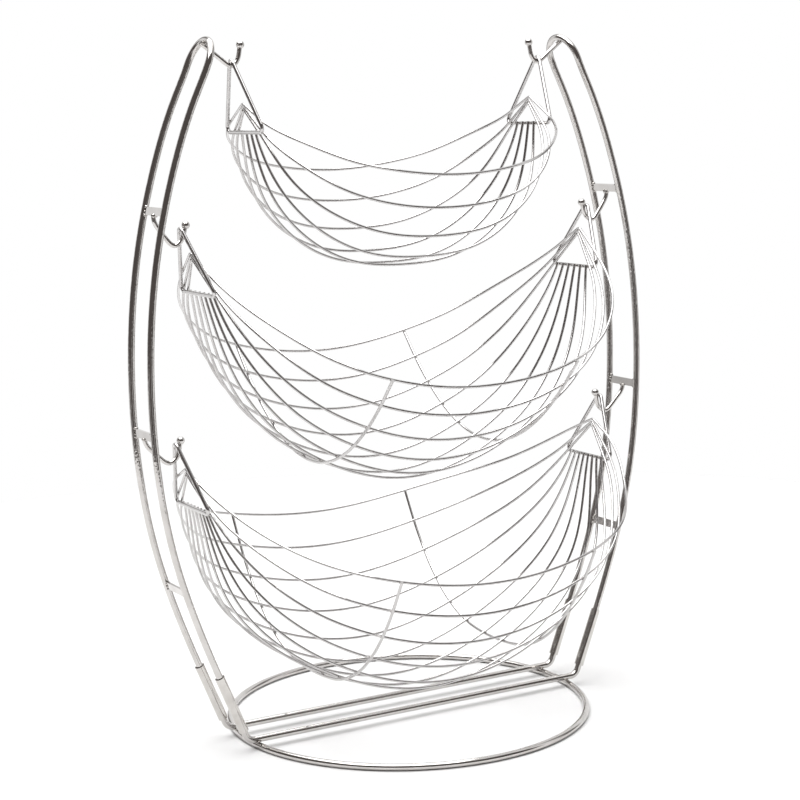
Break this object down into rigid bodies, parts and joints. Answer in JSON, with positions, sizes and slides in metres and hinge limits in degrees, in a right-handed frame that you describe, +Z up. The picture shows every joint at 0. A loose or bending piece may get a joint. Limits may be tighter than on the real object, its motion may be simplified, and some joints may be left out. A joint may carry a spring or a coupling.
{
  "type": "wire produce basket",
  "caption": "Tiered chrome wire produce stand with hammock baskets that swing on hooks between two bowed uprights over a ring base.",
  "frame": {"origin": "on the floor in the middle of the base ring", "axes": "+Z up, +X from the left upright to the right one, -Y towards the front"},
  "size_m": [0.498, 0.3444, 0.61],
  "materials": {
    "frame_chrome": "bright chrome plate on bent steel rod",
    "socket_chrome": "bright chrome plate on steel tube",
    "hook_chrome": "bright chrome plate on steel wire",
    "basket_chrome": "bright chrome plate on thin spot-welded steel wire"
  },
  "bodies": {
    "stand": {"base_ring": "frame_chrome", "front_base_rail": "frame_chrome", "hook_ball_tips": "hook_chrome", "left_bottom_hook": "hook_chrome", "left_front_socket": "socket_chrome", "left_lower_cross_bar": "frame_chrome", "left_middle_cross_bar": "frame_chrome", "left_middle_hook": "hook_chrome", "left_rear_socket": "socket_chrome", "left_top_hook": "hook_chrome", "left_upper_cross_bar": "frame_chrome", "left_upright": "frame_chrome", "rear_base_rail": "frame_chrome", "right_bottom_hook": "hook_chrome", "right_front_socket": "socket_chrome", "right_lower_cross_bar": "frame_chrome", "right_middle_cross_bar": "frame_chrome", "right_middle_hook": "hook_chrome", "right_rear_socket": "socket_chrome", "right_top_hook": "hook_chrome", "right_upper_cross_bar": "frame_chrome", "right_upright": "frame_chrome"},
    "top_basket": {"top_basket_front_wire_1": "basket_chrome", "top_basket_front_wire_2": "basket_chrome", "top_basket_left_hanger": "basket_chrome", "top_basket_rear_wire_1": "basket_chrome", "top_basket_rear_wire_2": "basket_chrome", "top_basket_right_hanger": "basket_chrome", "top_basket_rim_loop": "basket_chrome", "top_basket_second_loop": "basket_chrome", "top_basket_third_loop": "basket_chrome"},
    "middle_basket": {"middle_basket_front_wire_1": "basket_chrome", "middle_basket_front_wire_2": "basket_chrome", "middle_basket_front_wire_3": "basket_chrome", "middle_basket_left_hanger": "basket_chrome", "middle_basket_left_rib": "basket_chrome", "middle_basket_rear_wire_1": "basket_chrome", "middle_basket_rear_wire_2": "basket_chrome", "middle_basket_rear_wire_3": "basket_chrome", "middle_basket_right_hanger": "basket_chrome", "middle_basket_right_rib": "basket_chrome", "middle_basket_rim_loop": "basket_chrome", "middle_basket_second_loop": "basket_chrome", "middle_basket_third_loop": "basket_chrome"},
    "bottom_basket": {"bottom_basket_front_wire_1": "basket_chrome", "bottom_basket_front_wire_2": "basket_chrome", "bottom_basket_front_wire_3": "basket_chrome", "bottom_basket_front_wire_4": "basket_chrome", "bottom_basket_left_hanger": "basket_chrome", "bottom_basket_left_rib": "basket_chrome", "bottom_basket_rear_wire_1": "basket_chrome", "bottom_basket_rear_wire_2": "basket_chrome", "bottom_basket_rear_wire_3": "basket_chrome", "bottom_basket_rear_wire_4": "basket_chrome", "bottom_basket_right_hanger": "basket_chrome", "bottom_basket_right_rib": "basket_chrome", "bottom_basket_rim_loop": "basket_chrome", "bottom_basket_second_loop": "basket_chrome", "bottom_basket_third_loop": "basket_chrome"}
  },
  "joints": [
    {"name": "top_basket_swing", "type": "hinge", "parent": "stand", "child": "top_basket", "pos_m": [0, 0, 0.5854], "axis": [1, 0, 0], "range_deg": [-25, 25]},
    {"name": "middle_basket_swing", "type": "hinge", "parent": "stand", "child": "middle_basket", "pos_m": [0, 0, 0.4483], "axis": [1, 0, 0], "range_deg": [-25, 25]},
    {"name": "bottom_basket_swing", "type": "hinge", "parent": "stand", "child": "bottom_basket", "pos_m": [0, 0, 0.2674], "axis": [1, 0, 0], "range_deg": [-25, 25]}
  ]
}
